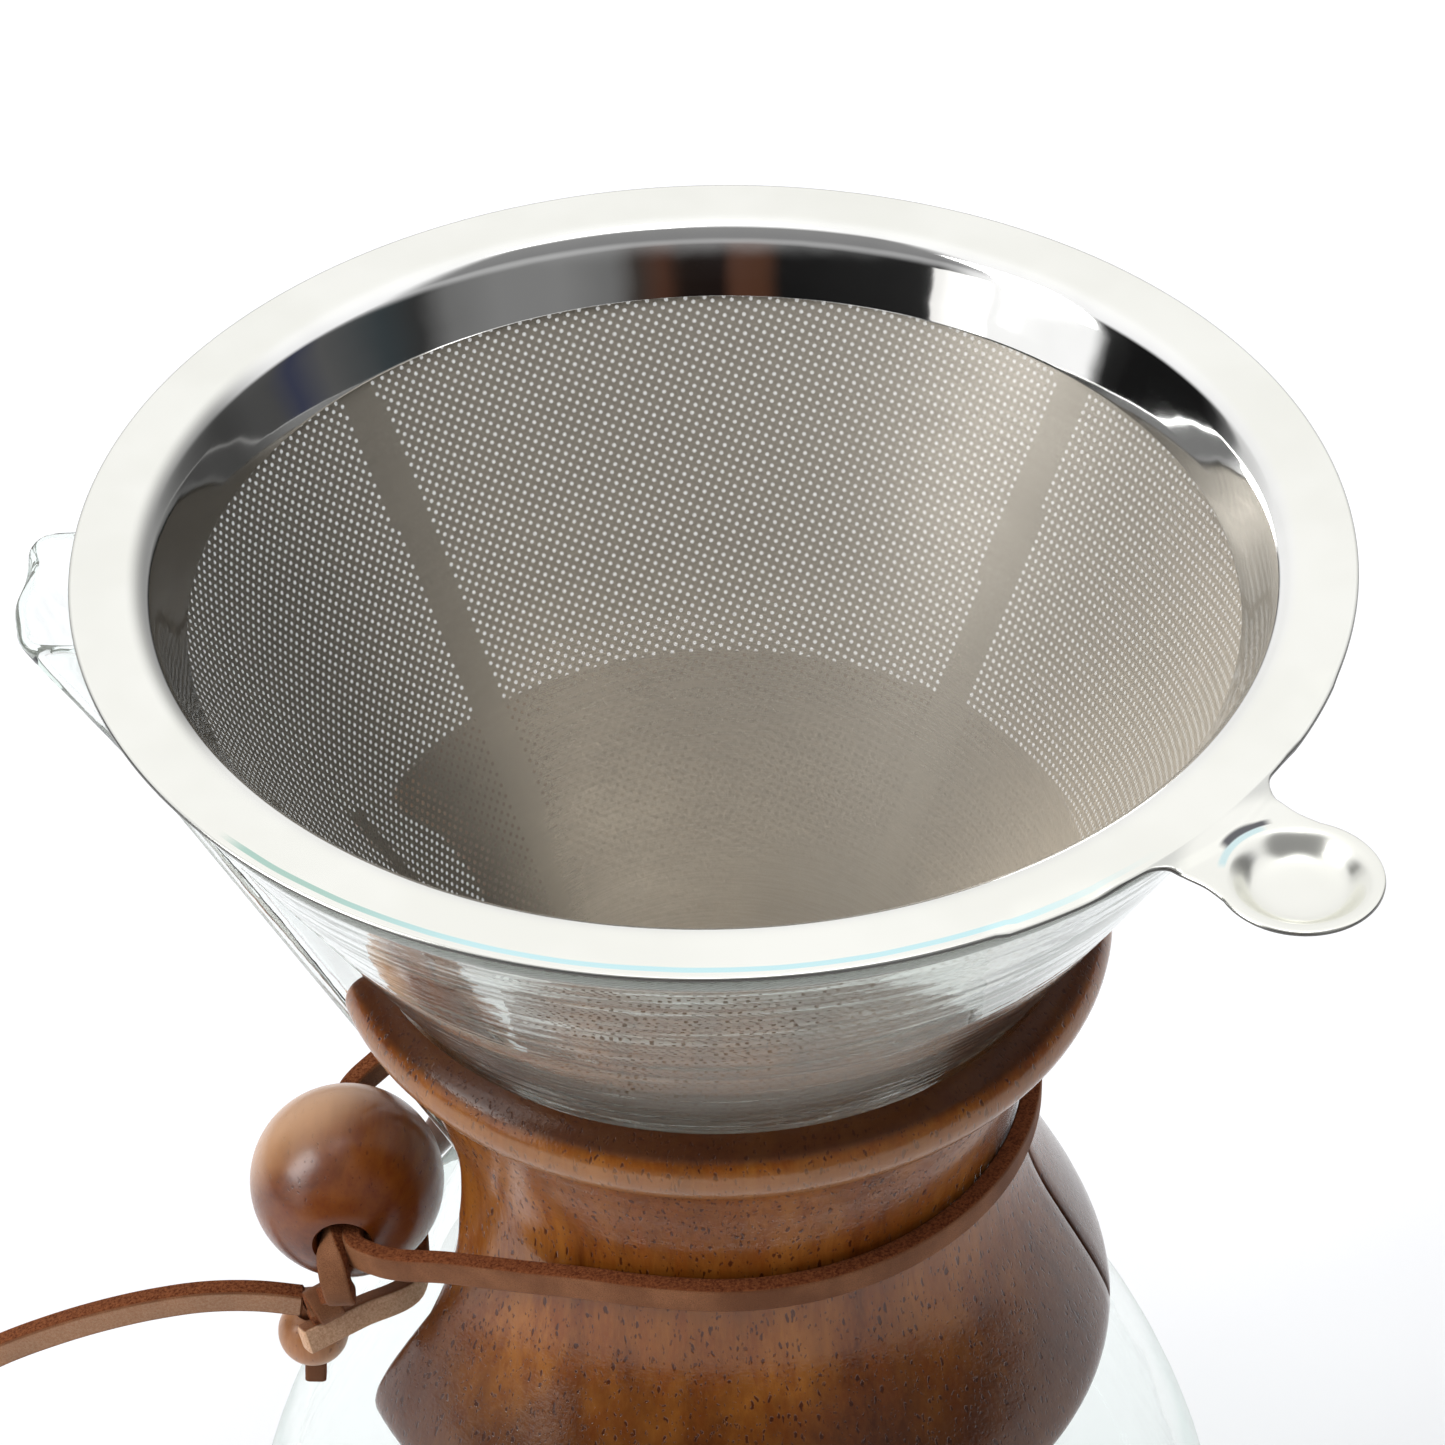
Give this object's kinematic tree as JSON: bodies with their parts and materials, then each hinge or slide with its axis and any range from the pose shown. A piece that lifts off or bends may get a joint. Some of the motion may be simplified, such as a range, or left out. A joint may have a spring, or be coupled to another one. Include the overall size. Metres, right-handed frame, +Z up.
{
  "type": "pour over dripper",
  "caption": "Hourglass glass pour-over carafe with spout, split wooden collar tied by a beaded leather lace, and a lift-out double-wall steel cone filter with thumb tab.",
  "frame": {"origin": "centre of the carafe's flat glass base, on the surface it stands on", "axes": "+Z up along the carafe's axis, -X towards the pouring spout, -Y towards the side seen in front"},
  "size_m": [0.1673, 0.13, 0.205],
  "materials": {
    "glass": "clear polished borosilicate",
    "collar_wood": "glossy lacquer over open-pored brown wood",
    "leather": "matt cut lace",
    "bead_wood": "glossy lacquer",
    "small_bead_wood": "satin lacquer",
    "steel_stamped": "bright satin flange, mirror-bright wall",
    "steel_perforated": "perforated sheet",
    "steel_mesh": "fine woven mesh",
    "steel_base": "pressed sheet"
  },
  "bodies": {
    "carafe_set": {"carafe": "glass", "collar_front": "collar_wood", "collar_back": "collar_wood", "thong": "leather", "thong_tail": "leather"},
    "filter": {"filter_rim": "steel_stamped", "filter_cone_outer": "steel_perforated", "filter_cone_mesh": "steel_mesh", "filter_base": "steel_base"},
    "bead_large": {"tie_bead": "bead_wood"},
    "bead_small": {"end_bead": "small_bead_wood"}
  },
  "joints": [
    {"name": "filter_lift", "type": "slide", "parent": "carafe_set", "child": "filter", "axis": [0, 0, 1], "range_m": [0, 0.11]},
    {"name": "tie_bead_turn", "type": "hinge", "parent": "carafe_set", "child": "bead_large", "pos_m": [-0.0419, -0.008, 0.1235], "axis": [0, 1, 0], "continuous": true},
    {"name": "end_bead_turn", "type": "hinge", "parent": "carafe_set", "child": "bead_small", "pos_m": [-0.047, -0.01, 0.1018], "axis": [0, 0, 1], "continuous": true}
  ]
}
